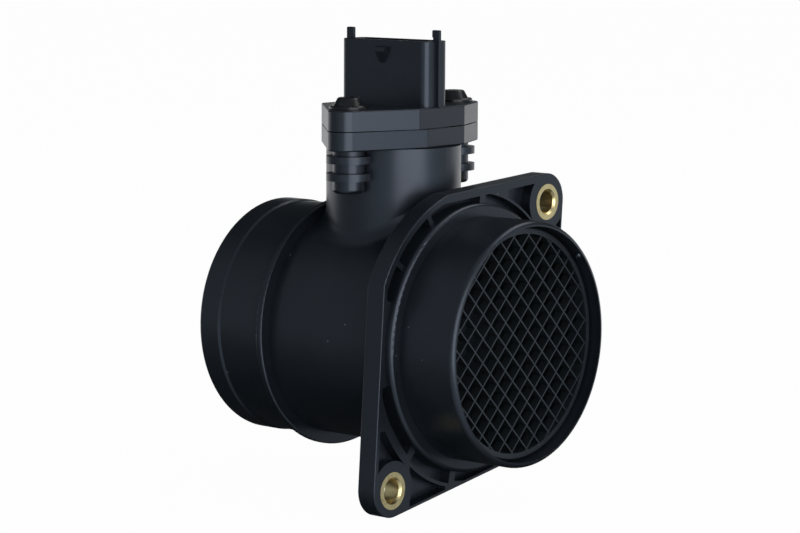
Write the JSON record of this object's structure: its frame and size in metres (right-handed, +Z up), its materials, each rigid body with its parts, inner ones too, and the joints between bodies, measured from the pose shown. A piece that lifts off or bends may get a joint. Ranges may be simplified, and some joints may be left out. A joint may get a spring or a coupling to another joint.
{
  "type": "mass airflow sensor",
  "caption": "Round plastic flow tube with a two-eared flange, a grid at its inlet and a hot-film insert with a plug socket screwed onto a tower.",
  "frame": {"origin": "on the flow axis at the foot of the inlet collar, where the rounded ring at its base begins", "axes": "+X out of the inlet against the flow, +Z up the tower to the plug socket, +Y to the upper ear's side"},
  "size_m": [0.0959, 0.0858, 0.1339],
  "materials": {
    "black_moulding": "satin",
    "brass": "turned",
    "seal_rubber": "matt",
    "terminal": "tinned",
    "base_metal": "plain",
    "board": "glazed ceramic",
    "chip": "satin",
    "capacitor": "plain",
    "bead": "glazed",
    "black_screw": "black zinc"
  },
  "bodies": {
    "root": {"flow_housing": "black_moulding", "inlet_grid": "black_moulding", "flange_bush_upper": "brass", "flange_bush_lower": "brass", "sensor_carrier": "black_moulding", "seal_ring": "seal_rubber", "terminal_pin_1": "terminal", "terminal_pin_2": "terminal", "terminal_pin_3": "terminal", "terminal_pin_4": "terminal", "terminal_pin_5": "terminal", "base_plate": "base_metal", "circuit_board": "board", "control_chip": "chip", "board_capacitors": "capacitor", "bond_wires": "base_metal", "chip_holder": "base_metal", "hot_film_chip": "chip", "electronics_cover": "black_moulding", "bypass_cover": "black_moulding", "air_thermistor": "bead", "near_screw": "black_screw", "far_screw": "black_screw"}
  },
  "joints": []
}
